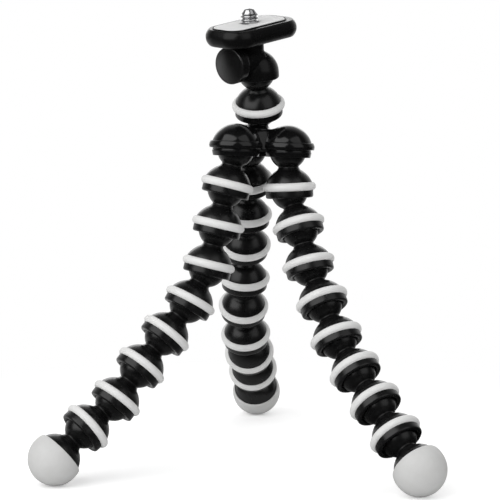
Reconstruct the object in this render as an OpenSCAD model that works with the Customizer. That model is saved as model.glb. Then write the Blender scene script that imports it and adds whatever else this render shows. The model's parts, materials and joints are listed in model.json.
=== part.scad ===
// Flexible leg camera tripod: three chains of ball-and-socket links under a hub, and a clamped ball head.
// Lengths are in millimetres and angles in degrees. +Z is up, and the feet stand on z = 0.

/* [Balls and sockets] */
// Diameter of every ball
ball_d = 13.3; // [11:0.1:14]
// Radial clearance between a ball and its socket
ball_clear = 0.05; // [0.02:0.01:0.1]
// Diameter of the neck between a ball and its dome
neck_d = 7.2; // [5.5:0.1:8]
// Length of bare neck between a ball and its dome
neck_len = 0.94; // [0.8:0.02:4]
// Wall of a dome outside its socket
dome_wall = 2.05; // [1.9:0.05:3.5]
// Step in from a dome to the collar under its ring
collar_step = 0.25; // [0.1:0.05:0.5]
// Drop from a socket's centre to the edge that keeps its ball in
catch_drop = 1.5; // [1:0.1:1.8]
// Drop from a socket's centre to its lip
lip_drop = 2.3; // [2:0.1:2.8]
// Radial flare of a socket's mouth from that edge to the lip
mouth_flare = 0.6; // [0.4:0.05:0.8]
// Chamfer round the outside of a lip
lip_chamfer = 0.4; // [0.2:0.05:0.6]

/* [Rubber rings] */
// Thickness of a ring's round bead
bead_d = 3; // [2.4:0.1:3.4]
// Height of a ring above its socket's centre
ring_rise = 1.7; // [1.5:0.1:2.5]
// How far a ring stands out of its dome
ring_proud = 0.75; // [0.4:0.05:1.1]
// How deep a ring's flat inside sits in its dome
ring_sunk = 1.4; // [1:0.05:1.6]
// Gap between a ring and its groove
ring_gap = 0.05; // [0.02:0.01:0.1]

/* [Hub] */
// Rise of the hub's domes over their sockets' centres
dome_lift = 0.45; // [0:0.05:0.8]
// Gap between neighbouring rings when the legs hang straight
leg_gap = 0.4; // [0.3:0.1:4]
// Diameter of the web that joins the hub's sockets
web_d = 16; // [14:0.5:20]
// Height of the web above the sockets' centres
web_rise = 7.6; // [6:0.1:8]
// Depth of the web under the sockets' centres
web_sink = 0.5; // [0:0.1:1]
// Length of the bare post between the web and the hub's ball
post_len = 1.5; // [0.8:0.1:6]
// Widening of the post at its foot
post_flare = 1.6; // [0.5:0.1:2.5]

/* [Feet] */
// How far a rubber cap stands out of its stud's dome
cap_proud = 0.65; // [0.4:0.05:1.5]
// Wall of a rubber cap
cap_wall = 2; // [1.4:0.1:3]
// Height of a cap's rim above the foot's centre
cap_rise = 2.5; // [1:0.1:3.5]
// Gap between a stud and its cap
cap_gap = 0.05; // [0.02:0.01:0.1]

/* [Head] */
// Wall of the housing outside its socket
housing_wall = 1.3; // [1:0.05:2.5]
// Diameter of the stem
stem_d = 9.4; // [8:0.1:14]
// Length of the plate
plate_len = 35.5; // [33:0.5:50]
// Width of the plate
plate_w = 20; // [18:0.5:30]
// Thickness of the plate
plate_t = 5.9; // [4.6:0.1:7]
// Radius of the bulge round the plate's edge
bulge_r = 4; // [3.6:0.1:4.4]
// Radius of the plate's corners seen from above
plate_corner = 7.8; // [4.5:0.1:8.5]
// Distance of the stem and the screw from the ball's axis, towards the knob
stem_shift = 2.5; // [2:0.1:7]
// Distance of the plate's middle from the screw, away from the knob
plate_slip = 0.8; // [0:0.1:1.2]
// Width of the plate's rim outside the pad's recess
rim_w = 3.2; // [3:0.1:4]
// Height of the curb round the recess above the rim
curb_h = 0.4; // [0.3:0.1:0.8]
// Width of that curb
curb_w = 0.3; // [0.2:0.05:0.6]
// Thickness of the pad
pad_t = 1.6; // [1.5:0.1:2]
// How far the pad stands above the curb
pad_proud = 0.1; // [0.1:0.05:0.4]
// Gap round the pad in its recess
pad_gap = 0.2; // [0.1:0.05:0.4]
// Radius of the pad's corners
pad_corner = 4.6; // [3.5:0.1:6]

/* [Camera screw] */
// Diameter of the thread
screw_d = 6.35; // [6.35:0.01:9.53]
// Height of the screw above the pad
screw_rise = 4.8; // [4:0.1:7]
// Height of the chamfer at the screw's tip
screw_chamfer = 1.6; // [1:0.1:2]
// Angle of the tip's cone from the screw's axis
screw_tip_angle = 38; // [25:1:45]
// Diameter of the relief under the thread
relief_d = 5.4; // [4.5:0.1:6]
// Height of the relief above the pad
relief_rise = 0.4; // [0.2:0.1:1]
// Depth of the screw in the plate
screw_sunk = 3.6; // [2.5:0.1:4.5]
// Gap between the screw and its seat
screw_gap = 0.02; // [0.01:0.01:0.05]
// Gap between the screw and the pad
pad_hole_gap = 0.4; // [0.2:0.1:1]

/* [Clamp] */
// Diameter of the knob
knob_d = 13.2; // [12:0.1:15]
// Thickness of the knob
knob_t = 4.6; // [4:0.1:8]
// Height of the dome on the knob's face
knob_crown = 0.6; // [0.3:0.1:1.2]
// Gap between the knob and the plate
knob_clear = 0.5; // [0.5:0.1:3]
// Gap between the knob and the end of its boss
knob_run = 0.4; // [0.3:0.1:1]
// Skin of the knob over the end of the stud
knob_skin = 1.6; // [1:0.1:2]
// Length of the boss outside the housing
boss_len = 1.7; // [1.5:0.1:5]
// Diameter of the boss
boss_d = 10.4; // [8:0.1:12]
// Diameter of the stud and of the shoe
stud_d = 3; // [2.5:0.1:4]
// Radial clearance of the stud and the shoe
stud_clear = 0.05; // [0.02:0.01:0.1]
// Depth of the shoe's upper edge under the top of the socket
shoe_inset = 0.5; // [0.2:0.05:1.2]
// Length of the shoe behind the ball
shoe_len = 1.4; // [1:0.1:2]
// Gap between the shoe and the stud
shoe_gap = 0.05; // [0.02:0.01:0.1]

/* [Stance] */
// Lean of the hub from upright
hub_lean = 4; // [0:1:15]
// Heading of that lean, from the front
hub_heading = 153; // [-180:1:180]
// Turn of the hub about its axis
hub_turn = 17; // [-60:1:60]
// Lean of the neck from upright
neck_lean = 23; // [0:1:28]
// Heading of the neck's lean, from the front
neck_heading = -9; // [-180:1:180]
// Lean of the head from upright
head_lean = 10; // [0:1:15]
// Heading of the head's lean, from the front
head_heading = -14; // [-180:1:180]
// Turn of the plate's long side from the X axis
head_turn = 48; // [0:1:90]

/* [Hidden] */
$fn = 64;
hull_fn = 32;
over = 1;
LEGS = ["left", "right", "back"];
LINKS = 8;
last_leg = len(LEGS) - 1;
leg_step = 360 / len(LEGS);

// Lean of each leg's links from straight down, from the hub to the foot
leg_leans = [
    [15, 14, 15, 31, 41, 42, 41, 53, 50],
    [4, 25, 24, 34, 35, 45, 48, 48, 52],
    [28, 23, 34, 22, 36, 34, 54, 53, 47]
];
// Heading of each leg's upper and lower links, from the front
leg_headings = [[-65, -62], [36, 38], [183, 173]];
// Number of links in the upper part of a leg
upper_links = 5;

ball_r = ball_d / 2;
socket_r = ball_r + ball_clear;
neck_r = neck_d / 2;
dome_r = socket_r + dome_wall;
collar_r = dome_r - collar_step;
catch_r = sqrt(socket_r * socket_r - catch_drop * catch_drop);
mouth_r = catch_r + mouth_flare;
ball_to_neck = sqrt(ball_r * ball_r - neck_r * neck_r);
link_pitch = ball_to_neck + neck_len + sqrt(dome_r * dome_r - neck_r * neck_r);

bead_r = bead_d / 2;
ring_r = dome_r + ring_proud;
bead_at = ring_r - bead_r;
ring_bore_r = dome_r - ring_sunk;

hub_reach = (ring_r + leg_gap / 2) / sin(leg_step / 2);
hub_rise = web_rise + post_len + ball_to_neck;

foot_r = dome_r + cap_proud;

housing_r = socket_r + housing_wall;
stud_r = stud_d / 2;
clamp_rise = socket_r - shoe_inset - stud_r;
plate_rise = clamp_rise + knob_d / 2 + knob_clear;
plate_top = plate_rise + plate_t;
plate_mid = plate_t / 2;
recess_t = pad_t - pad_proud - curb_h;
recess_len = plate_len - 2 * rim_w;
recess_w = plate_w - 2 * rim_w;
recess_corner = pad_corner + pad_gap;
pad_top = plate_top + curb_h + pad_proud;
pad_len = recess_len - 2 * pad_gap;
pad_w = recess_w - 2 * pad_gap;
screw_r = screw_d / 2;
screw_tip_r = screw_r - screw_chamfer * tan(screw_tip_angle);
thread_start = screw_sunk + pad_t + relief_rise;
thread_end = screw_sunk + pad_t + screw_rise - screw_chamfer;

boss_reach = housing_r + boss_len;
knob_in = boss_reach + knob_run;
knob_out = knob_in + knob_t;
shoe_back = ball_r + shoe_len;
shoe_front = sqrt(socket_r * socket_r - pow(clamp_rise + stud_r, 2));
stud_end = knob_out - knob_skin - shoe_gap;

BLACK = "#1b1b1c";
PALE = "#d9d9d6";
STEEL = "#b9bcc0";

// The horizontal axis about which an upright piece leans towards a heading
function lean_axis(heading) = [cos(heading), sin(heading), 0];
// A point turned about an axis through the origin
function turned(p, angle, axis) =
    p * cos(angle) + cross(axis, p) * sin(angle) + axis * (axis * p) * (1 - cos(angle));
// A direction in a piece's frame after its lean
function leaned(p, lean, heading) = turned(p, lean, lean_axis(heading));

// Places before the tripod is stood on its feet, with the middle of the hub's sockets at the origin
function leg_turn(leg) = leg_step * leg - leg_step / 2;
function hub_socket(leg) =
    leaned(turned([0, -hub_reach, 0], hub_turn + leg_turn(leg), [0, 0, 1]), hub_lean, hub_heading);
function link_lean(leg, i) = leg_leans[leg][i];
function link_heading(leg, i) = leg_headings[leg][i < upper_links ? 0 : 1];
function link_down(leg, i) = leaned([0, 0, -1], -link_lean(leg, i), link_heading(leg, i));
// Centre of the socket that holds ball i of a leg, where ball 0 is in the hub
function socket_at(leg, i) =
    i == 0 ? hub_socket(leg) : socket_at(leg, i - 1) + link_pitch * link_down(leg, i - 1);
function foot_at(leg) = socket_at(leg, LINKS) + link_pitch * link_down(leg, LINKS);
neck_socket = leaned([0, 0, hub_rise], hub_lean, hub_heading);
head_socket = neck_socket + leaned([0, 0, link_pitch], neck_lean, neck_heading);

// The turn that brings the three feet level, and the shift that stands them on z = 0 about the origin
feet = [for (leg = [0 : last_leg]) foot_at(leg)];
feet_normal = cross(feet[1] - feet[0], feet[2] - feet[0]);
feet_up = feet_normal / norm(feet_normal);
level_cross = cross(feet_up, [0, 0, 1]);
level_axis = norm(level_cross) > 0 ? level_cross / norm(level_cross) : [1, 0, 0];
level_angle = acos(feet_up.z);
level_feet = [for (p = feet) turned(p, level_angle, level_axis)];
feet_x = [for (p = level_feet) p.x];
feet_y = [for (p = level_feet) p.y];
stand_shift = [
    -(min(feet_x) + max(feet_x)) / 2,
    -(min(feet_y) + max(feet_y)) / 2,
    foot_r - level_feet[0].z
];

module stand() translate(stand_shift) rotate(a = level_angle, v = level_axis) children();
module lean(angle, heading) rotate(a = angle, v = lean_axis(heading)) children();
module at_ball(leg, i)
    stand() translate(socket_at(leg, i)) lean(-link_lean(leg, i), link_heading(leg, i)) children();
module at_hub() stand() lean(hub_lean, hub_heading) rotate(hub_turn) children();
module at_neck() stand() translate(head_socket) lean(neck_lean, neck_heading) children();
module at_head()
    stand() translate(head_socket) lean(head_lean, head_heading) rotate(head_turn) children();
module around_hub()
    for (leg = [0 : last_leg]) rotate(leg_turn(leg)) translate([0, -hub_reach, 0]) children();
module along_clamp(start) translate([-start, 0, clamp_rise]) rotate([0, -90, 0]) children();

// Ball and neck, from the ball's centre down by a link's pitch
module ball_and_neck() {
    sphere(ball_r);
    translate([0, 0, -link_pitch]) cylinder(r = neck_r, h = link_pitch);
}

// The part of a ball above a level
module upper_dome(r, level)
    intersection() {
        sphere(r);
        translate([-2 * r, -2 * r, level]) cube(4 * r);
    }

// Skirt of a socket from its centre down to a chamfered lip
module collar(r)
    translate([0, 0, -lip_drop]) {
        cylinder(r1 = r - lip_chamfer, r2 = r, h = lip_chamfer);
        translate([0, 0, lip_chamfer]) cylinder(r = r, h = lip_drop - lip_chamfer);
    }

// Hollow of a socket about its centre, with its flared mouth
module socket_hollow() {
    sphere(socket_r);
    translate([0, 0, -lip_drop]) cylinder(r1 = mouth_r, r2 = catch_r, h = lip_drop - catch_drop);
    translate([0, 0, -lip_drop - over]) cylinder(r = mouth_r, h = over);
}

// Bead of a ring about its socket's centre, grown by a gap, with a flat inside
module ring_bead(gap)
    translate([0, 0, ring_rise]) rotate_extrude() intersection() {
        translate([bead_at, 0]) circle(bead_r + gap);
        translate([ring_bore_r - gap, -bead_d]) square([bead_d * 2, bead_d * 2]);
    }

module link() color(BLACK)
    difference() {
        union() {
            ball_and_neck();
            translate([0, 0, -link_pitch]) {
                upper_dome(dome_r, 0);
                collar(collar_r);
            }
        }
        translate([0, 0, -link_pitch]) {
            socket_hollow();
            ring_bead(ring_gap);
        }
    }

module ring() color(PALE) translate([0, 0, -link_pitch]) ring_bead(0);

module foot_stud() {
    ball_and_neck();
    translate([0, 0, -link_pitch]) {
        upper_dome(dome_r, cap_rise + cap_gap);
        sphere(foot_r - cap_wall - cap_gap);
    }
}

module foot_cap()
    translate([0, 0, -link_pitch]) difference() {
        sphere(foot_r);
        translate([-foot_r, -foot_r, cap_rise]) cube(2 * foot_r);
        sphere(foot_r - cap_wall);
    }

module foot() {
    color(BLACK) foot_stud();
    color(PALE) foot_cap();
}

module hub() color(BLACK) at_hub()
    difference() {
        union() {
            around_hub() {
                translate([0, 0, dome_lift]) upper_dome(dome_r, -dome_lift);
                collar(collar_r);
                ring_bead(0);
            }
            translate([0, 0, -web_sink]) cylinder(d = web_d, h = web_sink + web_rise);
            translate([0, 0, web_rise]) cylinder(r1 = neck_r + post_flare, r2 = neck_r, h = post_flare);
            translate([0, 0, web_rise]) cylinder(r = neck_r, h = hub_rise - web_rise);
            translate([0, 0, hub_rise]) sphere(ball_r);
        }
        around_hub() socket_hollow();
    }

module neck_link() at_neck() link();
module neck_ring() at_neck() ring();

// Round-cornered outline about the origin, long side along X
module round_outline(length, width, r) {
    square([length - 2 * r, width], center = true);
    square([length, width - 2 * r], center = true);
    for (x = [-1, 1]) for (y = [-1, 1])
        translate([x * (length / 2 - r), y * (width / 2 - r)]) circle(r);
}

// Disc as thick as the plate with a bulging edge, standing on its level
module bulging_disc(r)
    translate([0, 0, plate_mid]) rotate_extrude($fn = hull_fn) intersection() {
        translate([r - bulge_r, 0]) circle(bulge_r, $fn = hull_fn);
        translate([0, -plate_mid]) square([r, plate_t]);
    }

module plate()
    translate([plate_slip - stem_shift, 0, plate_rise]) hull()
        for (x = [-1, 1]) for (y = [-1, 1])
            translate([x * (plate_len / 2 - plate_corner), y * (plate_w / 2 - plate_corner), 0])
                bulging_disc(plate_corner);

// Outline of the pad's recess, grown by a margin
module recess_outline(margin)
    round_outline(recess_len + 2 * margin, recess_w + 2 * margin, recess_corner + margin);

module head() color(BLACK) at_head()
    difference() {
        union() {
            upper_dome(housing_r, 0);
            collar(housing_r);
            along_clamp(0) cylinder(d = boss_d, h = boss_reach);
            translate([-stem_shift, 0, 0]) cylinder(d = stem_d, h = plate_rise + plate_mid);
            plate();
            translate([-stem_shift, 0, plate_top - recess_t])
                linear_extrude(recess_t + curb_h) recess_outline(curb_w);
        }
        socket_hollow();
        along_clamp(0) cylinder(r = stud_r + stud_clear, h = boss_reach + over);
        translate([-stem_shift, 0, plate_top - recess_t])
            linear_extrude(recess_t + curb_h + over) recess_outline(0);
        translate([-stem_shift, 0, plate_top - recess_t - screw_sunk])
            cylinder(r = screw_r + screw_gap, h = screw_sunk + over);
    }

module top_pad() color(PALE) at_head()
    translate([-stem_shift, 0, plate_top - recess_t]) difference() {
        linear_extrude(pad_t) round_outline(pad_len, pad_w, pad_corner);
        translate([0, 0, -over]) cylinder(r = screw_r + pad_hole_gap, h = pad_t + 2 * over);
    }

module camera_screw() color(STEEL) at_head()
    translate([-stem_shift, 0, plate_top - recess_t - screw_sunk]) {
        cylinder(r = screw_r, h = screw_sunk);
        cylinder(d = relief_d, h = thread_start);
        translate([0, 0, thread_start]) cylinder(r = screw_r, h = thread_end - thread_start);
        translate([0, 0, thread_end]) cylinder(r1 = screw_r, r2 = screw_tip_r, h = screw_chamfer);
    }

module clamp_knob() color(BLACK) at_head()
    difference() {
        union() {
            along_clamp(knob_in) cylinder(d = knob_d, h = knob_t - knob_crown);
            along_clamp(knob_out - knob_crown)
                cylinder(d1 = knob_d, d2 = knob_d - 2 * knob_crown, h = knob_crown);
        }
        along_clamp(knob_in - over) cylinder(r = stud_r + stud_clear, h = knob_t - knob_skin + over);
    }

module clamp_stud() color(STEEL) at_head()
    along_clamp(shoe_back + shoe_gap) cylinder(r = stud_r, h = stud_end - shoe_back - shoe_gap);

module clamp_shoe() color(PALE) at_head()
    difference() {
        along_clamp(shoe_front) cylinder(r = stud_r, h = shoe_back - shoe_front);
        sphere(socket_r);
    }

hub();
neck_link();
neck_ring();
head();
clamp_stud();
clamp_knob();
clamp_shoe();
top_pad();
camera_screw();
for (leg = [0 : last_leg]) {
    for (i = [1 : LINKS]) {
        at_ball(leg, i - 1) link();
        at_ball(leg, i - 1) ring();
    }
    at_ball(leg, LINKS) foot();
}
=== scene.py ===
import json
import math

import bmesh
import bpy
import numpy as np
from mathutils import Matrix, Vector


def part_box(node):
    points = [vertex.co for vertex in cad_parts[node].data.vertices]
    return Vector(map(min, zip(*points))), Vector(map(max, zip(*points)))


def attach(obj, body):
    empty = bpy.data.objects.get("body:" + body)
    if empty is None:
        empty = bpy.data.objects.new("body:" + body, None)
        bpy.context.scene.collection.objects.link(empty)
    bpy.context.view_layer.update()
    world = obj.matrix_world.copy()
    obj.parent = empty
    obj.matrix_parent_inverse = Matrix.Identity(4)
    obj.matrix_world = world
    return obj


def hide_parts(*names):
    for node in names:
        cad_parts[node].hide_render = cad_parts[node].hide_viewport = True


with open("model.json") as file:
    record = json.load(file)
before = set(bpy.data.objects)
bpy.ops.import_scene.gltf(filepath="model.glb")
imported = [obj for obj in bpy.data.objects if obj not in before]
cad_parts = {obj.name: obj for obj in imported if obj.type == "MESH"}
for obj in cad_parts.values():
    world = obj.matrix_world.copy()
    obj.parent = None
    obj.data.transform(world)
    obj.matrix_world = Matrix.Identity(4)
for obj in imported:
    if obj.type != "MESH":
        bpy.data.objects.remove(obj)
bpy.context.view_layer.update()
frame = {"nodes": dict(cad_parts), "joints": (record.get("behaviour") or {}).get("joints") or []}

# Sizes in millimetres and angles in degrees: the solids' own, with finer detail added to them
MM = 0.001
LEGS = ("left", "right", "back")
LINKS = 8

# Balls, sockets and the links' mouldings
BALL_R = 6.65
SOCKET_R = 6.7
NECK_R = 3.6
NECK_FLARE = 0.6
DOME_R = 8.75
COLLAR_R = 8.5
CATCH_DROP = 1.5
LIP_DROP = 2.3
LIP_CHAMFER = 0.4
MOUTH_FLARE = 0.6

# Rubber rings, each in its groove
BEAD_R = 1.5
RING_RISE = 1.7
RING_R = 9.5
RING_BORE_R = 7.35
GROOVE_DEPTH = 0.6
GROOVE_HALF = 1.2
GROOVE_FLOOR_HALF = 1.1

# Feet
FOOT_R = 9.4
CAP_WALL = 2.0
CAP_RISE = 3.0
CAP_OVERLAP = 0.2
CAP_FIT = 0.05
CAP_STEP_ANGLE = 8.0
CORE_GAP = 0.1
CORE_ANGLE = 14.0

# Hub: its domes, the web between them, and the moulded ridge and recess round each cup
DOME_LIFT = 0.45
WEB_R = 8.0
WEB_RISE = 7.6
WEB_SINK = 0.5
POST_SINK = 0.2
VALLEY_START = 5.2
VALLEY_FALL = 2.6
VALLEY_SOFT = 0.5
SADDLE_FILLET = 1.4
SADDLE_INSET = 0.03
SADDLE_CLEAR = 0.6
SADDLE_WALL = 0.3
RIDGE_AT = 6.8
RIDGE_Z = 1.4
RIDGE_R = 2.7
RIDGE_TOP = 3.05
RIDGE_BOTTOM = 0.5
RIDGE_GROOVE = 0.1
RECESS_DEPTH = 0.25
RECESS_DROP = 0.05
RECESS_END = -0.3
TAPER_START = -0.45
TAPER = 0.3

# Head: housing, clamp boss, stem and plate
HOUSING_R = 8.0
HOUSING_COLLAR = -0.4
BAR_CLEAR = 0.4
BOSS_R = 5.2
BOSS_REACH = 9.7
BOSS_TAPER = 0.2
BOSS_CHAMFER = 0.4
BOSS_EDGE = 0.1
STEM_R = 4.7
STEM_FLARE = 1.3
STEM_SHIFT = 2.5
STEM_SINK = 1.0
PLATE_LEN = 35.5
PLATE_W = 20.0
PLATE_T = 5.9
PLATE_RISE = 11.8
PLATE_CORNER = 7.8
PLATE_SLIP = 0.8
BULGE_R = 4.0
RIM_W = 3.2
CURB_H = 0.4
CURB_W = 0.3
RECESS_IN = 1.5

# Pad, camera screw and knob
PAD_GAP = 0.2
PAD_T = 1.6
PAD_PROUD = 0.1
PAD_CORNER = 4.6
PAD_EDGE_R = 0.35
PAD_HOLE_R = 3.575
PAD_WALL_DROPS = (0.2, PAD_T - 0.05)
PAD_TOP = PLATE_T + CURB_H + PAD_PROUD
SCREW_R = 3.175
SCREW_RISE = 4.8
SCREW_SINK = 1.0
SCREW_CHAMFER = 1.6
SCREW_TIP_ANGLE = 38.0
SCREW_CROWN = 0.7
CROWN_START = 0.15  # radians
THREAD_PITCH = 1.27
THREAD_DEPTH = 0.75
THREAD_SHARPNESS = 1.6
THREAD_RUNOUT = 0.35
RELIEF_R = 2.7
RELIEF_RISE = 0.4
KNOB_R = 6.6
KNOB_T = 4.6
KNOB_RUN = 0.4
KNOB_CROWN = 0.6
KNOB_CHAMFER = 0.4
KNOB_RIM_W = 0.3
KNOB_RIM_LOW = 0.75
KNOB_RIM_HIGH = 0.45
KNOB_FACE_IN = 0.55

# How finely a profile and a turn are divided
TURN_STEP = math.radians(9)
LONGEST_STEP = 0.9
BELL_STEPS = 4
BELL_REACH = 3
SEGMENTS = 64
FINE_SEGMENTS = 96
CORNER_POINTS = 14
SADDLE_SEGMENTS, SADDLE_ROWS = 144, 34
SCREW_SEGMENTS, SCREW_ROWS = 120, 110
CROWN_ROWS = 8
PAD_ROWS = 12
BAR_ROWS = 9

# Where a surface counts as an edge or a hollow, in 1/mm
BEND_START = 0.3
BEND_RANGE = 2.0
# Points this close, in metres, are one point, and in millimetres these are as good as nothing
SAME_POINT = 1e-8
TINY = 1e-6
NO_LENGTH = 1e-9


# Places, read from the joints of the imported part

JOINTS = {joint["name"]: joint for joint in frame["joints"]}


def joint_at(name):
    """A joint's point in millimetres."""
    return np.array(JOINTS[name]["pos_m"]) / MM


def unit(v):
    """A direction of length one."""
    return v / np.linalg.norm(v)


def seat(origin, up, across=(1.0, 0.0, 0.0)):
    """A place with three axes: the part of across that is square to up, their cross product, and up."""
    up = unit(np.asarray(up, float))
    across = np.asarray(across, float)
    across = unit(across - up * (across @ up))
    return np.asarray(origin, float), np.stack([across, np.cross(up, across), up])


def put(place, points):
    """Points in a seat's own axes taken to the part's frame: the origin plus each axis times its share."""
    origin, axes = place
    return origin + points @ axes


def ball_at(leg, i):
    """Centre of ball i of a leg, counted from the hub: ball 0 lies in the hub's socket."""
    return joint_at(f"{leg}_swing_{i + 1}")


def foot_at(leg):
    """Centre of a foot: one foot radius in from the outer corner of the foot's box."""
    low, high = (np.array(corner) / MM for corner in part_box(f"{leg}_foot"))
    outward = ball_at(leg, LINKS) - ball_at(leg, 0)
    return np.where(outward < 0, low + FOOT_R, high - FOOT_R)


HUB_SOCKETS = np.array([ball_at(leg, 0) for leg in LEGS])
HUB_MID = HUB_SOCKETS.mean(axis=0)
HUB_UP = unit(np.cross(HUB_SOCKETS[1] - HUB_SOCKETS[0], HUB_SOCKETS[2] - HUB_SOCKETS[0]))
NECK_SOCKET = joint_at("neck_swing")
HEAD_SOCKET = joint_at("head_tilt")
CLAMP_AT = joint_at("knob_turn")
HEAD_UP = unit(CLAMP_AT - HEAD_SOCKET)
CLAMP_OUT = unit(np.array(JOINTS["knob_turn"]["axis"]))

STEM_AT = HEAD_SOCKET + STEM_SHIFT * CLAMP_OUT
HUB_SEAT = seat(HUB_MID, HUB_UP, HUB_SOCKETS[0] - HUB_MID)
HEAD_SEAT = seat(HEAD_SOCKET, HEAD_UP, CLAMP_OUT)
STEM_SEAT = (STEM_AT, HEAD_SEAT[1])
CLAMP_SEAT = seat(CLAMP_AT, CLAMP_OUT, HEAD_UP)
PLATE_SEAT = seat(STEM_AT + PLATE_RISE * HEAD_UP, HEAD_UP, CLAMP_OUT)
POST_RISE = np.linalg.norm(NECK_SOCKET - HUB_MID)
LINK_PITCH = np.linalg.norm(ball_at("left", 1) - ball_at("left", 0))
BALL_TO_NECK = math.sqrt(BALL_R ** 2 - NECK_R ** 2)


# Profiles

def height_angle(height, radius):
    """Angle in degrees at which a circle of a radius stands a height above its centre."""
    return math.degrees(math.asin(height / radius))


def reach_angle(reach, radius):
    """Angle in degrees at which a circle of a radius lies a reach out from its centre."""
    return math.degrees(math.acos(reach / radius))


def arc(centre, radius, start, end, count=24):
    """Points on a circle about a centre (r, z), from one angle to another, 0 outwards and 90 up."""
    angle = np.radians(np.linspace(start, end, count))
    return np.stack([centre[0] + radius * np.cos(angle), centre[1] + radius * np.sin(angle)], axis=-1)


def path(*parts):
    """Single points and arcs joined end to end."""
    return np.concatenate([np.atleast_2d(np.asarray(part, float)) for part in parts])


def resampled(points, at):
    """A path's points at given distances along it, by linear interpolation."""
    run = np.r_[0, np.cumsum(np.linalg.norm(np.diff(points, axis=0), axis=1))]
    return np.stack([np.interp(at, run, points[:, k]) for k in range(points.shape[1])], axis=-1)


def moulded(points, soft=0.18, closed=False):
    """A path with its corners rounded as a mould rounds them.

    The path is cut into short even steps and each point becomes the bell-weighted mean of its neighbours,
    soft being the bell's half width. Past an end on the axis the path goes on as its mirror image, and
    past any other end it goes on turned about that end. The points that are kept then lie closer where
    the path turns, one for each turn step or longest step.
    """
    step = soft / BELL_STEPS
    length = np.linalg.norm(np.diff(points, axis=0), axis=1).sum()
    even = resampled(points, np.linspace(0, length, int(length / step) + 2))
    reach = int(BELL_REACH * soft / step)
    bell = np.exp(-0.5 * (np.arange(-reach, reach + 1) * step / soft) ** 2)
    bell /= bell.sum()
    if closed:
        even = even[:-1]
        longer = np.concatenate([even[-reach:], even, even[:reach]])
    else:
        before, after = even[1:reach + 1][::-1], even[-reach - 1:-1][::-1]
        mirror = np.array([-1.0, 1.0])
        before = before * mirror if abs(even[0, 0]) < TINY else 2 * even[0] - before
        after = after * mirror if abs(even[-1, 0]) < TINY else 2 * even[-1] - after
        longer = np.concatenate([before, even, after])
    smooth = np.stack([np.convolve(longer[:, k], bell, "valid") for k in (0, 1)], axis=-1)
    if closed:
        smooth = np.concatenate([smooth, smooth[:1]])
    pace = np.diff(smooth, axis=0)
    heading = np.unwrap(np.arctan2(pace[:, 1], pace[:, 0]))
    turn = np.abs(np.r_[0, np.diff(heading)])
    cost = np.r_[0, np.cumsum(turn / TURN_STEP + np.linalg.norm(pace, axis=1) / LONGEST_STEP)]
    kept = np.linspace(0, cost[-1], int(cost[-1]) + 2)
    return np.stack([np.interp(kept, cost, smooth[:, k]) for k in (0, 1)], axis=-1)


def socket_path():
    """Flared mouth and hollow of a socket about its centre, from the lip's inner edge to the pole."""
    catch_r = math.sqrt(SOCKET_R ** 2 - CATCH_DROP ** 2)
    catch_angle = height_angle(-CATCH_DROP, SOCKET_R)
    return path((catch_r + MOUTH_FLARE, -LIP_DROP), arc((0, 0), SOCKET_R, catch_angle, 90))


def collar_path(collar_r, top):
    """A collar's outside from a height down to its chamfered lip."""
    return path((collar_r, top), (collar_r, LIP_CHAMFER - LIP_DROP), (collar_r - LIP_CHAMFER, -LIP_DROP))


def ball_path(height):
    """A ball from its upper pole down to where its neck starts, with the ball's centre at a height."""
    return arc((0, height), BALL_R, 90, -reach_angle(NECK_R, BALL_R), count=40)


def dome_path(end_angle):
    """A dome about its socket's centre, from a flared neck out and down to an angle above the level."""
    start_angle = reach_angle(NECK_R + NECK_FLARE, DOME_R)
    neck_top = math.sqrt(DOME_R ** 2 - NECK_R ** 2) + NECK_FLARE
    return path((NECK_R, neck_top), arc((0, 0), DOME_R, start_angle, end_angle, count=32))


# Grids made into pieces

def whole_turn(count):
    """Angles of one turn, which ends one step short of its start."""
    return np.linspace(0, 2 * np.pi, count, endpoint=False)


def spun(r, z, turn):
    """Points at a radius and height for each turn: r cos(turn), r sin(turn), z."""
    return np.stack([r * np.cos(turn), r * np.sin(turn), z + 0 * turn], axis=-1)


def lathe(profile, place, segments=SEGMENTS, wobble=None):
    """A profile (r, z) turned about a seat's up axis, a row for each point of the profile.

    A wobble adds its share for each turn to the radius.
    """
    turn = whole_turn(segments)
    r, z = profile[:, 0, None], profile[:, 1, None]
    if wobble is not None:
        r = r + wobble(turn)[None, :]
    return put(place, spun(r, z, turn))


def bend_of(grid, closed_rows):
    """How sharply a grid turns along its rows, in 1/mm, counted positive where it stands out.

    The second difference of the points, measured against the normal from the cross product of the grid's
    two directions, over the square of the step.
    """
    if closed_rows:
        before, after = np.roll(grid, 1, axis=0), np.roll(grid, -1, axis=0)
    else:
        before = np.concatenate([grid[:1], grid[:-1]])
        after = np.concatenate([grid[1:], grid[-1:]])
    along = after - before
    around = np.roll(grid, -1, axis=1) - np.roll(grid, 1, axis=1)
    normal = np.cross(along, around)
    normal /= np.linalg.norm(normal, axis=-1, keepdims=True) + NO_LENGTH
    step = (np.linalg.norm(along, axis=-1) / 2) ** 2 + TINY
    return -((after + before - 2 * grid) * normal).sum(axis=-1) / step


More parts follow.
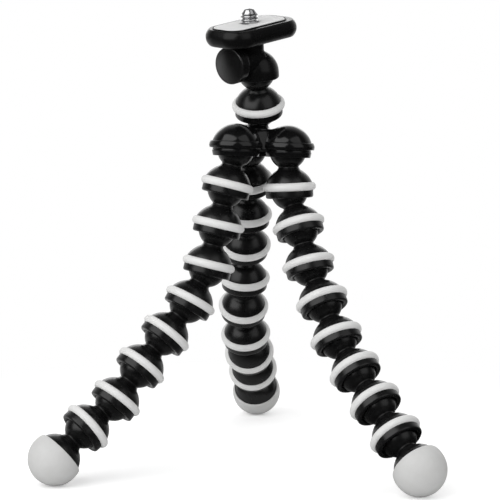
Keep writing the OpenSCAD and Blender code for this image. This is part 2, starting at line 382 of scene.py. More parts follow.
def skin(name, grid, material, body, node, closed_rows=False, caps=()):
    """A mesh piece from a grid of points whose columns close on themselves.

    Each cell is a four-sided face. Rows that meet in one point become a pole when doubles are merged, and
    caps names the rows that a flat face closes. The faces are turned outwards by the sign of the enclosed
    volume, the sum of each half cell's corners multiplied as a box.
    """
    rows, columns = grid.shape[:2]
    index = np.arange(rows * columns).reshape(rows, columns)
    upper = index if closed_rows else index[:-1]
    lower = np.roll(index, -1, axis=0) if closed_rows else index[1:]
    faces = np.stack([upper, lower, np.roll(lower, -1, axis=1), np.roll(upper, -1, axis=1)], axis=-1)
    points = grid.reshape(-1, 3)
    corners = points[faces.reshape(-1, 4)] - points.mean(axis=0)
    volume = np.einsum("ij,ij->i", corners[:, 0], np.cross(corners[:, 1], corners[:, 2])).sum()
    volume += np.einsum("ij,ij->i", corners[:, 0], np.cross(corners[:, 2], corners[:, 3])).sum()
    bend = bend_of(grid, closed_rows).reshape(-1)
    polygons = faces.reshape(-1, 4)
    if volume < 0:
        polygons = polygons[:, ::-1]
        bend = -bend
    polygons = polygons.tolist() + [index[row].tolist() for row in caps]

    mesh = bpy.data.meshes.new(name)
    mesh.from_pydata((points * MM).tolist(), [], polygons)
    for label, amount in (("convex_edge", bend), ("hollow", -bend)):
        value = np.clip((amount - BEND_START) / BEND_RANGE, 0, 1).astype(np.float32)
        mesh.attributes.new(label, "FLOAT", "POINT").data.foreach_set("value", value)
    piece = bpy.data.objects.new(name, mesh)
    bpy.context.scene.collection.objects.link(piece)
    merge_poles(mesh, bool(caps))
    mesh.polygons.foreach_set("use_smooth", np.ones(len(mesh.polygons), bool))
    mesh.materials.append(material)
    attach(piece, body)
    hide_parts(node)


def merge_poles(mesh, capped):
    """Merges points that lie on each other, and turns a capped mesh's faces outwards together."""
    work = bmesh.new()
    work.from_mesh(mesh)
    bmesh.ops.remove_doubles(work, verts=work.verts, dist=SAME_POINT)
    if capped:
        bmesh.ops.recalc_face_normals(work, faces=work.faces)
    work.to_mesh(mesh)
    work.free()


# Shared effects of the finishes

# A noise's contrast and offset, where edges are marked and where dust lies; the edge mark is wear, and on
# the pad it is painted shade
EDGE_CONTRAST, EDGE_OFFSET = 2.6, -0.8
PATCH_CONTRAST, PATCH_OFFSET = 2.2, -0.95
# What full dust adds to the roughness, and the height of the grain in metres
DUST_ROUGHNESS = 0.35
GRAIN_HEIGHT = 0.0001


def new_group(name, inputs, outputs):
    """An empty shader node group with float inputs, given as names and defaults, and named outputs."""
    group = bpy.data.node_groups.new(name, "ShaderNodeTree")
    for label, value in inputs:
        socket = group.interface.new_socket(label, in_out="INPUT", socket_type="NodeSocketFloat")
        socket.default_value = value
    for label in outputs:
        group.interface.new_socket(label, in_out="OUTPUT", socket_type="NodeSocketFloat")
    nodes = group.nodes
    return group, nodes.new("NodeGroupInput"), nodes.new("NodeGroupOutput")


def maths(tree, operation, *values, clamp=False):
    """A Math node fed by sockets or plain numbers; gives its output."""
    node = tree.nodes.new("ShaderNodeMath")
    node.operation = operation
    node.use_clamp = clamp
    for socket, value in zip(node.inputs, values):
        if isinstance(value, (int, float)):
            socket.default_value = value
        else:
            tree.links.new(value, socket)
    return node.outputs[0]


def noise(tree, scale, detail, roughness=0.55):
    """A Noise texture on Object coordinates, its scale a socket; gives its value."""
    where = tree.nodes.new("ShaderNodeTexCoord")
    node = tree.nodes.new("ShaderNodeTexNoise")
    tree.links.new(where.outputs["Object"], node.inputs["Vector"])
    tree.links.new(scale, node.inputs["Scale"])
    node.inputs["Detail"].default_value = detail
    node.inputs["Roughness"].default_value = roughness
    return node.outputs["Fac"]


def surface_value(tree, name):
    """A piece's own value for each point."""
    node = tree.nodes.new("ShaderNodeAttribute")
    node.attribute_name = name
    return node.outputs["Fac"]


def grain_group():
    """Fine grain as a height, and slow mottling: two noises at their own scales."""
    group, inside, outside = new_group(
        "surface grain", [("Grain scale", 9000.0), ("Mottle scale", 180.0)], ["Height", "Mottle"])
    height = noise(group, inside.outputs["Grain scale"], detail=4.0)
    group.links.new(height, outside.inputs["Height"])
    mottle = noise(group, inside.outputs["Mottle scale"], detail=3.0)
    group.links.new(mottle, outside.inputs["Mottle"])
    return group


def wear_and_shade_group():
    """Edge mark: the convex-edge value times a broken-up noise, with its own strength. On most finishes it
    is wear; on the pad it is painted shade.
    """
    group, inside, outside = new_group("edge wear and shade", [("Strength", 0.5), ("Scale", 420.0)], ["Mask"])
    broken = noise(group, inside.outputs["Scale"], detail=5.0)
    broken = maths(group, "MULTIPLY_ADD", broken, EDGE_CONTRAST, EDGE_OFFSET)
    wear_and_shade_mask = maths(group, "MULTIPLY", surface_value(group, "convex_edge"), broken, clamp=True)
    mask = maths(group, "MULTIPLY", wear_and_shade_mask, inside.outputs["Strength"], clamp=True)
    group.links.new(mask, outside.inputs["Mask"])
    return group


def dust_group():
    """Dust and grime: gathered in hollows, and thinly wherever a slow noise is high, times its strength."""
    group, inside, outside = new_group("settled dust", [("Strength", 0.3), ("Scale", 260.0)], ["Mask"])
    patch = noise(group, inside.outputs["Scale"], detail=6.0, roughness=0.65)
    patch = maths(group, "MULTIPLY_ADD", patch, PATCH_CONTRAST, PATCH_OFFSET)
    gathered = maths(group, "ADD", surface_value(group, "hollow"), patch, clamp=True)
    mask = maths(group, "MULTIPLY", gathered, inside.outputs["Strength"], clamp=True)
    group.links.new(mask, outside.inputs["Mask"])
    return group


GRAIN = grain_group()
WEAR_AND_SHADE = wear_and_shade_group()
DUST = dust_group()


def placed(tree, group, **values):
    """A group placed in a material with its own values, given with underscores for spaces."""
    node = tree.nodes.new("ShaderNodeGroup")
    node.node_tree = group
    for label, value in values.items():
        node.inputs[label.replace("_", " ").capitalize()].default_value = value
    return node


def blended(tree, mask, first, second):
    """Two colours mixed by a mask, each a colour or a socket; gives the mixed colour.

    Inputs 6 and 7 of a Mix node are its two colours, and output 2 is the mixed one.
    """
    node = tree.nodes.new("ShaderNodeMix")
    node.data_type = "RGBA"
    tree.links.new(mask, node.inputs[0])
    for socket, value in zip(node.inputs[6:8], (first, second)):
        if isinstance(value, tuple):
            socket.default_value = (*value, 1.0)
        else:
            tree.links.new(value, socket)
    return node.outputs[2]


def ranged(tree, value, source, target, smooth=False):
    """A value taken from one range to another, evenly or by a smooth step."""
    node = tree.nodes.new("ShaderNodeMapRange")
    node.interpolation_type = "SMOOTHSTEP" if smooth else "LINEAR"
    tree.links.new(value, node.inputs[0])
    for socket, number in zip(node.inputs[1:5], (*source, *target)):
        socket.default_value = number
    return node.outputs[0]


def mixed_shader(tree, mask, first, second):
    """Two shaders mixed by a mask."""
    node = tree.nodes.new("ShaderNodeMixShader")
    tree.links.new(mask, node.inputs[0])
    tree.links.new(first.outputs[0], node.inputs[1])
    tree.links.new(second.outputs[0], node.inputs[2])
    return node


def finish_of(name, colour, tint, wear_and_shade_colour, dusty, roughness, bump, wear_and_shade_strength, dust, grain_scale, mottle_scale,
              specular=0.5, metallic=0.0):
    """A finish: a colour mottled with a tint, an edge colour and dust over it, uneven roughness and grain.
    The edge colour is wear, except on the pad, where it is painted shade.
    """
    material = bpy.data.materials.new(name)
    material.use_nodes = True
    tree = material.node_tree
    shader = tree.nodes["Principled BSDF"]
    shader.inputs["Specular IOR Level"].default_value = specular
    shader.inputs["Metallic"].default_value = metallic
    grain = placed(tree, GRAIN, grain_scale=grain_scale, mottle_scale=mottle_scale)
    wear_and_shade_mask = placed(tree, WEAR_AND_SHADE, strength=wear_and_shade_strength)
    settled = placed(tree, DUST, strength=dust)
    mottled = blended(tree, grain.outputs["Mottle"], colour, tint)
    mottled = blended(tree, wear_and_shade_mask.outputs["Mask"], mottled, wear_and_shade_colour)
    mottled = blended(tree, settled.outputs["Mask"], mottled, dusty)
    tree.links.new(mottled, shader.inputs["Base Color"])
    rough = ranged(tree, grain.outputs["Mottle"], (0.0, 1.0), roughness)
    rough = maths(tree, "MULTIPLY_ADD", settled.outputs["Mask"], DUST_ROUGHNESS, rough, clamp=True)
    tree.links.new(rough, shader.inputs["Roughness"])
    relief = tree.nodes.new("ShaderNodeBump")
    relief.inputs["Strength"].default_value = bump
    relief.inputs["Distance"].default_value = GRAIN_HEIGHT
    tree.links.new(grain.outputs["Height"], relief.inputs["Height"])
    tree.links.new(relief.outputs["Normal"], shader.inputs["Normal"])
    return material


# What all black mouldings share
MOULDING = dict(colour=(0.0030, 0.0030, 0.0031), wear_and_shade_strength=0.4, grain_scale=5200.0, mottle_scale=150.0)

BLACK = finish_of(
    "black_moulding", tint=(0.0050, 0.0050, 0.0052), wear_and_shade_colour=(0.022, 0.022, 0.023),
    dusty=(0.014, 0.0138, 0.013), roughness=(0.22, 0.32), bump=0.12, dust=0.12, specular=0.38, **MOULDING)
HUB = finish_of(
    "polished_moulding", tint=(0.0045, 0.0045, 0.0047), wear_and_shade_colour=(0.020, 0.020, 0.021),
    dusty=(0.014, 0.0138, 0.013), roughness=(0.12, 0.18), bump=0.05, dust=0.08, specular=0.36, **MOULDING)
HEAD = finish_of(
    "satin_moulding", tint=(0.0045, 0.0045, 0.0047), wear_and_shade_colour=(0.018, 0.018, 0.019),
    dusty=(0.012, 0.0118, 0.011), roughness=(0.22, 0.30), bump=0.10, dust=0.10, specular=0.2, **MOULDING)
KNOB = finish_of(
    "knob_moulding", tint=(0.0045, 0.0045, 0.0047), wear_and_shade_colour=(0.020, 0.020, 0.021),
    dusty=(0.014, 0.0138, 0.013), roughness=(0.12, 0.20), bump=0.05, dust=0.10, specular=0.75, **MOULDING)
RUBBER = finish_of(
    "pale_rubber", colour=(0.69, 0.69, 0.685), tint=(0.64, 0.64, 0.635), wear_and_shade_colour=(0.73, 0.73, 0.725),
    dusty=(0.46, 0.455, 0.44), roughness=(0.48, 0.62), bump=0.35, wear_and_shade_strength=0.5, dust=0.16,
    grain_scale=3600.0, mottle_scale=240.0, specular=0.35)
CAP = finish_of(
    "foot_rubber", colour=(0.57, 0.57, 0.565), tint=(0.52, 0.52, 0.515), wear_and_shade_colour=(0.63, 0.63, 0.625),
    dusty=(0.36, 0.35, 0.33), roughness=(0.46, 0.60), bump=0.35, wear_and_shade_strength=0.5, dust=0.18,
    grain_scale=3000.0, mottle_scale=120.0, specular=0.35)
# The pad's edge colour is darker than its own colour: painted shade along the pad's rounded edges.
PAD = finish_of(
    "grip_pad", colour=(0.67, 0.67, 0.67), tint=(0.60, 0.60, 0.60), wear_and_shade_colour=(0.58, 0.58, 0.58),
    dusty=(0.34, 0.34, 0.33), roughness=(0.60, 0.78), bump=0.7, wear_and_shade_strength=0.4, dust=0.2,
    grain_scale=2400.0, mottle_scale=300.0, specular=0.3)
CHROME = finish_of(
    "bright_plating", colour=(0.56, 0.56, 0.57), tint=(0.49, 0.49, 0.50), wear_and_shade_colour=(0.66, 0.66, 0.66),
    dusty=(0.30, 0.29, 0.28), roughness=(0.10, 0.20), bump=0.1, wear_and_shade_strength=0.5, dust=0.15,
    grain_scale=5000.0, mottle_scale=500.0, metallic=1.0)
STEEL = finish_of(
    "turned_steel", colour=(0.55, 0.56, 0.57), tint=(0.48, 0.49, 0.50), wear_and_shade_colour=(0.66, 0.66, 0.67),
    dusty=(0.25, 0.24, 0.23), roughness=(0.26, 0.38), bump=0.2, wear_and_shade_strength=0.4, dust=0.2,
    grain_scale=4000.0, mottle_scale=400.0, metallic=1.0)
SHOE = finish_of(
    "shoe_plastic", colour=(0.66, 0.66, 0.63), tint=(0.60, 0.60, 0.57), wear_and_shade_colour=(0.7, 0.7, 0.68),
    dusty=(0.35, 0.34, 0.32), roughness=(0.40, 0.52), bump=0.3, wear_and_shade_strength=0.3, dust=0.2,
    grain_scale=3000.0, mottle_scale=200.0)


# Links, rings and feet

# The slow waves of a stretched ring: height, waves in a turn, and phase for each ring's number
RING_WAVES = ((0.035, 2, 1.7), (0.025, 5, 0.9))


def link_path():
    """A link from the pole of its ball down its neck, dome, groove and collar, and up into its socket."""
    groove_top = height_angle(RING_RISE + GROOVE_HALF, DOME_R)
    groove_r = DOME_R - GROOVE_DEPTH
    return path(ball_path(LINK_PITCH), dome_path(groove_top), (groove_r, RING_RISE + GROOVE_FLOOR_HALF),
                (groove_r, RING_RISE - GROOVE_FLOOR_HALF), collar_path(COLLAR_R, RING_RISE - GROOVE_HALF),
                socket_path())


def ring_path():
    """A ring's closed outline: a round bead with a flat inside."""
    flat = reach_angle(RING_BORE_R - RING_R + BEAD_R, BEAD_R)
    bead = arc((RING_R - BEAD_R, RING_RISE), BEAD_R, -flat, flat, count=40)
    return path(bead, bead[:1])


def stud_path():
    """A foot's stud: ball, neck and dome down to just under the cap's rim, then the core inside the cap."""
    rim = height_angle(CAP_RISE - CAP_OVERLAP, DOME_R)
    core_r = FOOT_R - CAP_WALL - CORE_GAP
    return path(ball_path(LINK_PITCH), dome_path(rim), arc((0, 0), core_r, CORE_ANGLE, -90))


def cap_path():
    """A foot's rubber cap: its round outside up to a rim, over the rim and back inside to the axis."""
    rim = height_angle(CAP_RISE, FOOT_R)
    inner_rim = height_angle(CAP_RISE, DOME_R)
    return path(arc((0, 0), FOOT_R, -90, rim, count=48),
                arc((0, 0), DOME_R + CAP_FIT, inner_rim, CAP_STEP_ANGLE, count=8),
                arc((0, 0), FOOT_R - CAP_WALL, CAP_STEP_ANGLE, -90, count=32))


def ring_wobble(number):
    """The slight unevenness of a stretched ring: slow waves whose phase goes with its number."""
    return lambda turn: sum(high * np.sin(waves * turn + phase * number)
                            for high, waves, phase in RING_WAVES)


LINK_PROFILE = moulded(link_path())
RING_PROFILE = moulded(ring_path(), soft=0.15, closed=True)[:-1]
STUD_PROFILE = moulded(stud_path())
CAP_PROFILE = moulded(cap_path(), soft=0.22)


def make_link(name, socket, ball, ring_name, number):
    """A link and its rubber ring, between the centre of its own socket and that of its ball."""
    place = seat(socket, ball - socket)
    skin(name, lathe(LINK_PROFILE, place), BLACK, name, name)
    ring = lathe(RING_PROFILE, place, segments=FINE_SEGMENTS, wobble=ring_wobble(number))
    skin(ring_name, ring, RUBBER, ring_name, ring_name, closed_rows=True)


def make_leg(leg, first_number):
    """A leg's links and rings from the hub down, then its foot."""
    for i in range(1, LINKS + 1):
        make_link(f"{leg}_link_{i}", ball_at(leg, i), ball_at(leg, i - 1), f"{leg}_ring_{i}",
                  first_number + i)
    foot = f"{leg}_foot"
    place = seat(foot_at(leg), ball_at(leg, LINKS) - foot_at(leg))
    skin(f"{leg}_foot_stud", lathe(STUD_PROFILE, place), BLACK, foot, foot)
    cap = lathe(CAP_PROFILE, place, segments=FINE_SEGMENTS)
    skin(f"{leg}_foot_cap", cap, CAP, foot, foot)


# Hub

def cup_path():
    """One of the hub's cups from its pole down.

    A whole dome, a fine groove, the moulded ridge, a recess, a tapered collar and the socket.
    """
    top = height_angle(RIDGE_TOP - RIDGE_Z, RIDGE_R)
    bottom = height_angle(RIDGE_BOTTOM - RIDGE_Z, RIDGE_R)
    ridge = arc((RIDGE_AT, RIDGE_Z), RIDGE_R, top, bottom, count=16)
    dome_end = height_angle(RIDGE_TOP + RIDGE_GROOVE - DOME_LIFT, DOME_R)
    recess_r = COLLAR_R - RECESS_DEPTH
    return path(arc((0, DOME_LIFT), DOME_R, 90, dome_end, count=40),
                (recess_r, RIDGE_TOP - RIDGE_GROOVE), ridge,
                (recess_r, RIDGE_BOTTOM - RECESS_DROP), (recess_r, RECESS_END),
                (COLLAR_R, TAPER_START), (COLLAR_R - TAPER, LIP_CHAMFER - LIP_DROP),
                (COLLAR_R - LIP_CHAMFER, -LIP_DROP), socket_path())


def post_path():
    """The hub's post and ball: a flared foot under the saddle, the post, and the ball up to its pole."""
    flare = POST_RISE - BALL_TO_NECK - WEB_RISE
    flare_r = NECK_R + flare
    return path((0, WEB_SINK), (flare_r, WEB_SINK), (flare_r, WEB_RISE - POST_SINK),
                arc((flare_r, WEB_RISE + flare), flare, -90, -180, count=12), ball_path(POST_RISE)[::-1])


def soft_max(first, second, reach):
    """The larger of two heights, with a smooth fillet of a given reach where they cross."""
    near = np.maximum(reach - np.abs(first - second), 0)
    return np.maximum(first, second) + near ** 2 / (4 * reach)


def ball_heights(x, y, radius):
    """Height of each hub ball of a radius over (x, y): the root of r squared less the distance squared.

    Where the ball isn't, the height is that of the web's underside.
    """
    sockets = (HUB_SOCKETS - HUB_MID) @ HUB_SEAT[1].T
    away = (x[..., None] - sockets[:, 0]) ** 2 + (y[..., None] - sockets[:, 1]) ** 2
    return np.where(away < radius ** 2, np.sqrt(np.maximum(radius ** 2 - away, 0)), -WEB_SINK)


def saddle_grid():
    """The web between the hub's cups as two height fields over a disc, joined at its rim.

    The top is the smooth largest of the web's level and the three domes. The level falls with the distance
    past the post, most in the valleys between the cups. The bottom is the web's underside, or the top of a
    socket's wall where that is higher.
    """
    turn = whole_turn(SADDLE_SEGMENTS)
    reach = np.linspace(0, WEB_R, SADDLE_ROWS)[:, None]
    x, y = reach * np.cos(turn), reach * np.sin(turn)
    past = reach - VALLEY_START
    slope = (past + np.hypot(past, VALLEY_SOFT)) / 2 * VALLEY_FALL
    between = 0.5 - 0.5 * np.cos(len(LEGS) * turn)
    top = WEB_RISE - slope * between ** 2
    for dome in np.moveaxis(ball_heights(x, y, DOME_R - SADDLE_INSET), -1, 0):
        top = soft_max(top, dome + DOME_LIFT, SADDLE_FILLET)
    floor = ball_heights(x, y, SOCKET_R + SADDLE_CLEAR).max(axis=-1)
    above = np.stack([x, y, top], axis=-1)
    below = np.stack([x, y, np.minimum(floor, top - SADDLE_WALL)], axis=-1)[::-1]
    return put(HUB_SEAT, np.concatenate([above, below]))


def make_hub():
    """The hub's three cups, the saddle between them, and the post with its ball."""
    cup = moulded(cup_path(), soft=0.12)
    for leg, socket in zip(LEGS, HUB_SOCKETS):
        shell = lathe(cup, seat(socket, HUB_UP), segments=FINE_SEGMENTS)
        skin(f"hub_cup_{leg}", shell, HUB, "hub", "hub")
    skin("hub_saddle", saddle_grid(), HUB, "hub", "hub")
    post = lathe(moulded(post_path()), seat(HUB_MID, HUB_UP))
    skin("hub_post", post, HUB, "hub", "hub")


# Head

def housing_path():
    """The head's housing: a whole dome, its collar and lip, and the socket."""
    return path(arc((0, 0), HOUSING_R, 90, 0, count=40), collar_path(HOUSING_R, HOUSING_COLLAR),
                socket_path())


def boss_path():
    """The clamp's boss: a slightly tapered side, a chamfer and a flat end."""
    return path((BOSS_R + BOSS_TAPER, 0), (BOSS_R, BOSS_REACH - BOSS_EDGE),
                (BOSS_R - BOSS_CHAMFER, BOSS_REACH), (0, BOSS_REACH))


def stem_path():
    """The stem: a straight side and a flare under the plate, ended inside it."""
    flare_r, end = STEM_R + STEM_FLARE, PLATE_RISE + STEM_SINK
    return path((STEM_R, 0), arc((flare_r, PLATE_RISE - STEM_FLARE), STEM_FLARE, 180, 90, count=12),
                (flare_r, end), (0, end))


def bar_on_ball(place, profile):
    """A round bar that starts on the wall of the head's socket and follows a profile (r, height) outwards.

    The start of each point lies where a line along the bar leaves a sphere just outside the socket, or
    level with the ball's centre where the line misses it. The rows before it close the bar's inside on
    that sphere.
    """
    turn = whole_turn(SEGMENTS)
    r = np.linspace(0, profile[0, 0], BAR_ROWS)[:, None]
    start = spun(r, 0 * r, turn)
    from_ball = put(place, start) - HEAD_SOCKET
    level = from_ball @ place[1][2]
    aside = (from_ball ** 2).sum(axis=-1) - level ** 2
    start[..., 2] = np.sqrt(np.maximum((SOCKET_R + BAR_CLEAR) ** 2 - aside, 0)) - level
    outer = spun(profile[1:, :1], profile[1:, 1:], turn)
    return put(place, np.concatenate([start, outer]))


def framed(place, profile, length, width, corners, shift=0.0):
    """A profile of insets and heights carried round a rounded rectangle, long side along x.

    Each row is the rectangle drawn in by its inset with its own corner radius, and shifted along x: a
    corner's centre plus the radius times the cosine and sine of an angle that goes once round, a quarter
    turn a corner.
    """
    quarter = np.linspace(0, 90, CORNER_POINTS)
    angle = np.radians((quarter + np.array([[0], [90], [180], [270]])).ravel())
    side_x = np.repeat([1, -1, -1, 1], CORNER_POINTS)
    side_y = np.repeat([1, 1, -1, -1], CORNER_POINTS)
    inset, height, r = profile[:, :1], profile[:, 1:], corners[:, None]
    x = side_x * (length / 2 - inset - r) + r * np.cos(angle) + np.reshape(shift, (-1, 1))
    y = side_y * (width / 2 - inset - r) + r * np.sin(angle)
    return put(place, np.stack([x, y, height + 0 * angle], axis=-1))


def plate_grid():
    """The plate: underside, bulging edge, rim, curb and recess as insets and heights round its outline.

    The corners keep the plate's own arc centres up to the rim, and the recess's from the curb inwards. The
    plate's middle lies off the screw, and the recess's on it.
    """
    half_t = PLATE_T / 2
    cut = height_angle(half_t, BULGE_R)
    bulge = arc((BULGE_R, half_t), BULGE_R, 180 + cut, 180 - cut, count=28)
    edge, curb, inner = bulge[-1, 0], RIM_W - CURB_W, RIM_W + RECESS_IN
    curb_top, floor = PLATE_T + CURB_H, PAD_TOP - PAD_T
    section = path((inner, 0), bulge, (curb, PLATE_T), (curb, curb_top), (RIM_W, curb_top),
                   (RIM_W, floor), (inner, floor))
    section = moulded(section, soft=0.1)
    recess_corner = PAD_CORNER + PAD_GAP
    radii = (PLATE_CORNER, PLATE_CORNER - edge, recess_corner + CURB_W, recess_corner + RIM_W - inner)
    corners = np.interp(section[:, 0], (0, edge, curb, inner), radii)
    shift = np.interp(section[:, 0], (edge, curb), (-PLATE_SLIP, 0))
    return framed(PLATE_SEAT, section, PLATE_LEN, PLATE_W, corners, shift)


def pad_grid():
    """The pad: its side and rounded edge round its outline, then a top that narrows to the screw's hole.

    Each row of the top is a share of the outline and a share of the hole's circle.
    """
    length = PLATE_LEN - 2 * RIM_W - 2 * PAD_GAP
    width = PLATE_W - 2 * RIM_W - 2 * PAD_GAP
    side = path((0, 0), arc((PAD_EDGE_R, PAD_T - PAD_EDGE_R), PAD_EDGE_R, 180, 90, count=7))
    outside = framed(seat((0, 0, 0), (0, 0, 1)), side, length, width, PAD_CORNER - side[:, 0])
    outline = outside[-1]
    angle = np.arctan2(outline[:, 1], outline[:, 0])
    hole = spun(PAD_HOLE_R, PAD_T, angle)
    share = np.linspace(0, 1, PAD_ROWS)[1:, None, None]
    top = outline * (1 - share) + hole * share
    wall = hole[None] - np.array([0, 0, 1.0]) * np.array(PAD_WALL_DROPS)[:, None, None]
    origin, axes = PLATE_SEAT
    return put((origin + HEAD_UP * (PAD_TOP - PAD_T), axes), np.concatenate([outside, top, wall]))


def screw_grid():
    """The camera screw: a radius for each turn and height, the least of a thread and a tip cone.

    The thread's radius falls from crest to root with the distance from the helix, which climbs one pitch a
    turn, and under the thread it goes over into a thin relief. The tip is a low dome.
    """
    turn = whole_turn(SCREW_SEGMENTS)
    shoulder = PAD_TOP + SCREW_RISE - SCREW_CROWN / 2
    height = np.linspace(PAD_TOP - PAD_T - SCREW_SINK, shoulder, SCREW_ROWS)[:, None]
    phase = np.abs((height / THREAD_PITCH - turn / (2 * np.pi)) % 1.0 - 0.5) * 2
    thread = SCREW_R - THREAD_DEPTH * (1 - phase) ** THREAD_SHARPNESS
    slant = math.tan(math.radians(SCREW_TIP_ANGLE))
    cone = SCREW_R - SCREW_CHAMFER * slant + (shoulder - height) * slant
    runout = np.clip((height - (PAD_TOP + RELIEF_RISE)) / THREAD_RUNOUT, 0, 1)
    radius = np.minimum(RELIEF_R + (thread - RELIEF_R) * runout, cone)
    side = spun(radius, height, turn)
    flat, up = np.array([1.0, 1.0, 0]), np.array([0, 0, 1.0])
    share = np.cos(np.linspace(CROWN_START, np.pi / 2, CROWN_ROWS))[:, None, None]
    rise = SCREW_CROWN * np.sqrt(1 - share ** 2)
    crown = side[-1][None] * flat * share + up * (shoulder + rise)
    foot = side[0][None] * up
    return put(PLATE_SEAT, np.concatenate([foot, side, crown]))


def knob_path():
    """The knob: a flat back, a round side, a fine rim and a crowned face."""
    back = BOSS_REACH + KNOB_RUN
    face = back + KNOB_T
    crown_r = (KNOB_R ** 2 + KNOB_CROWN ** 2) / (2 * KNOB_CROWN)
    rim = height_angle(KNOB_R - KNOB_FACE_IN, crown_r)
    return path((0, back), (KNOB_R - KNOB_CHAMFER, back), (KNOB_R, back + KNOB_CHAMFER),
                (KNOB_R, face - KNOB_RIM_LOW), (KNOB_R - KNOB_RIM_W, face - KNOB_RIM_HIGH),
                arc((0, face - crown_r), crown_r, 90 - rim, 90, count=16))


def make_head():
    """Housing, clamp boss, stem, plate, pad, screw and knob, and the finishes of the clamp's inside."""
    housing = lathe(moulded(housing_path()), HEAD_SEAT, segments=FINE_SEGMENTS)
    skin("head_housing", housing, HEAD, "head", "head")
    boss = bar_on_ball(CLAMP_SEAT, moulded(boss_path()))
    skin("head_boss", boss, HEAD, "head", "head")
    stem = bar_on_ball(STEM_SEAT, moulded(stem_path()))
    skin("head_stem", stem, HEAD, "head", "head")
    skin("head_plate", plate_grid(), HEAD, "head", "head", caps=(0, -1))
    skin("top_pad", pad_grid(), PAD, "head", "top_pad", closed_rows=True)
    skin("camera_screw", screw_grid(), CHROME, "head", "camera_screw")
    knob = lathe(moulded(knob_path(), soft=0.14), CLAMP_SEAT, segments=FINE_SEGMENTS)
    skin("clamp_knob", knob, KNOB, "clamp_knob", "clamp_knob")
    for node, finish in (("clamp_stud", STEEL), ("clamp_shoe", SHOE)):
        materials = frame["nodes"][node].data.materials
        materials.clear()
        materials.append(finish)


for count, leg_name in enumerate(LEGS):
    make_leg(leg_name, count * LINKS)
make_hub()
make_link("neck_link", NECK_SOCKET, HEAD_SOCKET, "neck_ring", 0)
make_head()


# Floor, light and camera, in metres

# The floor's rings of points, how far it lies under the feet, and where the camera sees it fade to white
FLOOR_RINGS = (4.0, 1.0, 0.3, 0.0)
FLOOR_SEGMENTS = 96
FLOOR_SINK = 0.00005
FLOOR_NEAR, FLOOR_FAR = 0.06, 0.20
FLOOR_LIFT = 0.31
PAPER = (0.9, 0.9, 0.9, 1)
BARE = (0.02, 0.02, 0.02, 1)
# Where the paper ends for mirrored light, and how far that line falls back on the right
PAPER_END, PAPER_FULL = -0.12, 0.13
PAPER_SLANT = 0.8
# The room's level for light, and for mirrored light its dark front and the white sweep behind
ROOM = 0.36
ROOM_MIRRORED, SWEEP_LEVEL = 0.03, 0.8
SWEEP_START, SWEEP_END = 0.1, 0.9
# The point that all lights face
LIT_POINT = (0.0, 0.0, 0.08)
# The photograph's camera: where it stands and looks, its slight roll, and its focal length in pixels
CAMERA_AT = np.array([0.0072, -0.8350, 0.1777])
CAMERA_LOOKS = np.array([0.0056, -0.0126, 0.0769])
CAMERA_ROLL = -0.007
FOCAL_PX = 2300.0
IMAGE_PX = 500.0
SENSOR_MM = 36.0


def seen_by_camera(tree, light):
    """One for rays from the camera, straight or through glass, by their Light Path."""
    return maths(tree, "MAXIMUM", light.outputs["Is Camera Ray"], light.outputs["Is Transmission Ray"])


def floor_material():
    """Pale paper that fades with distance into white, and in mirrored light ends before the part.

    The camera sees the lit paper lifted towards white, so that the part's shadow stays on it.
    """
    material = bpy.data.materials.new("pale_floor")
    material.use_nodes = True
    tree = material.node_tree
    tree.nodes.clear()
    where = tree.nodes.new("ShaderNodeTexCoord")
    length = tree.nodes.new("ShaderNodeVectorMath")
    length.operation = "LENGTH"
    tree.links.new(where.outputs["Object"], length.inputs[0])
    split = tree.nodes.new("ShaderNodeSeparateXYZ")
    tree.links.new(where.outputs["Object"], split.inputs[0])
    light = tree.nodes.new("ShaderNodeLightPath")
    seen = seen_by_camera(tree, light)
    far = ranged(tree, length.outputs["Value"], (FLOOR_NEAR, FLOOR_FAR), (0.0, 1.0), smooth=True)
    white = maths(tree, "MULTIPLY", far, seen)
    right = maths(tree, "MAXIMUM", split.outputs["X"], 0.0)
    depth = maths(tree, "MULTIPLY_ADD", right, -PAPER_SLANT, split.outputs["Y"])
    laid = ranged(tree, depth, (PAPER_END, PAPER_FULL), (0.0, 1.0), smooth=True)
    bare = maths(tree, "SUBTRACT", 1.0, laid)
    dark = maths(tree, "MULTIPLY", bare, light.outputs["Is Glossy Ray"])
    paper = tree.nodes.new("ShaderNodeBsdfDiffuse")
    paper.inputs["Color"].default_value = PAPER
    lift = tree.nodes.new("ShaderNodeEmission")
    tree.links.new(maths(tree, "MULTIPLY", seen, FLOOR_LIFT), lift.inputs["Strength"])
    lit = tree.nodes.new("ShaderNodeAddShader")
    tree.links.new(paper.outputs[0], lit.inputs[0])
    tree.links.new(lift.outputs[0], lit.inputs[1])
    faded = mixed_shader(tree, white, lit, tree.nodes.new("ShaderNodeEmission"))
    unlit = tree.nodes.new("ShaderNodeBsdfDiffuse")
    unlit.inputs["Color"].default_value = BARE
    ended = mixed_shader(tree, dark, faded, unlit)
    output = tree.nodes.new("ShaderNodeOutputMaterial")
    tree.links.new(ended.outputs[0], output.inputs[0])
    return material


def make_floor():
    """A flat disc under the feet: rings of points, from the rim in to the middle."""
    reach = np.array(FLOOR_RINGS)[:, None]
    grid = spun(reach, 0 * reach - FLOOR_SINK, whole_turn(FLOOR_SEGMENTS))
    index = np.arange(grid[..., 0].size).reshape(grid.shape[:2])
    outer, inner = index[:-1], index[1:]
    faces = np.stack([outer, np.roll(outer, -1, 1), np.roll(inner, -1, 1), inner], axis=-1)
    mesh = bpy.data.meshes.new("floor")
    mesh.from_pydata(grid.reshape(-1, 3).tolist(), [], faces.reshape(-1, 4).tolist())
    merge_poles(mesh, False)
    mesh.materials.append(floor_material())
    floor = bpy.data.objects.new("floor", mesh)
    bpy.context.scene.collection.objects.link(floor)


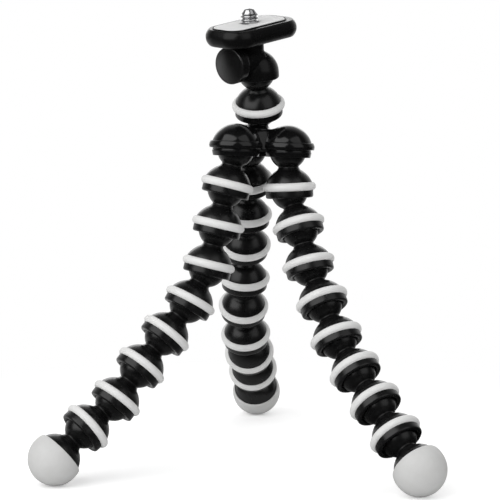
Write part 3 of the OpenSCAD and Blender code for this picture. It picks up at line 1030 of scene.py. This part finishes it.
def make_world():
    """White where the camera looks, a soft grey room for light, and a mirrored room, white behind."""
    world = bpy.data.worlds.new("studio")
    bpy.context.scene.world = world
    world.use_nodes = True
    tree = world.node_tree
    tree.nodes.clear()
    where = tree.nodes.new("ShaderNodeTexCoord")
    split = tree.nodes.new("ShaderNodeSeparateXYZ")
    tree.links.new(where.outputs["Generated"], split.inputs[0])
    sweep = ranged(tree, split.outputs["Y"], (SWEEP_START, SWEEP_END), (ROOM_MIRRORED, SWEEP_LEVEL),
                   smooth=True)
    light = tree.nodes.new("ShaderNodeLightPath")
    change = maths(tree, "SUBTRACT", sweep, ROOM)
    level = maths(tree, "MULTIPLY_ADD", light.outputs["Is Glossy Ray"], change, ROOM)
    level = maths(tree, "MAXIMUM", level, seen_by_camera(tree, light))
    white = tree.nodes.new("ShaderNodeBackground")
    white.inputs["Color"].default_value = (1, 1, 1, 1)
    output = tree.nodes.new("ShaderNodeOutputWorld")
    tree.links.new(level, white.inputs["Strength"])
    tree.links.new(white.outputs[0], output.inputs[0])


def stand(thing, right, up, back, at):
    """Stands a light or the camera at a point, with its own x, y and z along right, up and back."""
    stance = np.eye(4)
    stance[:3] = np.stack([right, up, back, at], axis=1)
    thing.matrix_world = Matrix(stance.tolist())
    bpy.context.scene.collection.objects.link(thing)


def make_softbox(name, toward, distance, width, height, brightness, mirrored=True, lit=True):
    """A rectangular soft light that faces the part; its power is brightness times pi times area."""
    lamp = bpy.data.lights.new(name, "AREA")
    lamp.shape = "RECTANGLE"
    lamp.size, lamp.size_y = width, height
    lamp.energy = brightness * math.pi * width * height
    softbox = bpy.data.objects.new(name, lamp)
    at = np.array(LIT_POINT) + unit(np.array(toward)) * distance
    up, _, back = seat(at, toward, (0.0, 0.0, 1.0))[1]
    softbox.visible_camera = False
    softbox.visible_glossy = mirrored
    softbox.visible_diffuse = lit
    stand(softbox, np.cross(up, back), up, back, at)


def make_camera():
    """The camera on its line of sight, turned about it by the roll."""
    data = bpy.data.cameras.new("camera")
    data.sensor_width = SENSOR_MM
    data.lens = SENSOR_MM * FOCAL_PX / IMAGE_PX
    camera = bpy.data.objects.new("camera", data)
    back = unit(CAMERA_AT - CAMERA_LOOKS)
    right = unit(np.cross((0.0, 0.0, 1.0), back))
    up = np.cross(back, right)
    cosine, sine = math.cos(CAMERA_ROLL), math.sin(CAMERA_ROLL)
    stand(camera, right * cosine + up * sine, up * cosine - right * sine, back, CAMERA_AT)
    bpy.context.scene.camera = camera


make_floor()
make_world()
make_softbox("key_softbox", toward=(-0.606, -0.673, 0.62), distance=1.1, width=1.30, height=1.24,
             brightness=2.2)
make_softbox("fill_softbox", toward=(0.68, -0.60, 0.56), distance=1.1, width=0.9, height=1.15,
             brightness=0.8)
make_softbox("back_softbox", toward=(-0.03, 0.93, 0.36), distance=1.2, width=1.1, height=0.5,
             brightness=1.4, lit=False)
make_softbox("rear_softbox", toward=(0.3, 0.9, 0.45), distance=1.1, width=1.2, height=1.0,
             brightness=0.9, mirrored=False)
make_softbox("top_softbox", toward=(0.0, 0.1, 1.0), distance=1.0, width=1.0, height=1.0,
             brightness=0.6, mirrored=False)
make_camera()
bpy.context.scene.view_settings.view_transform = "Standard"
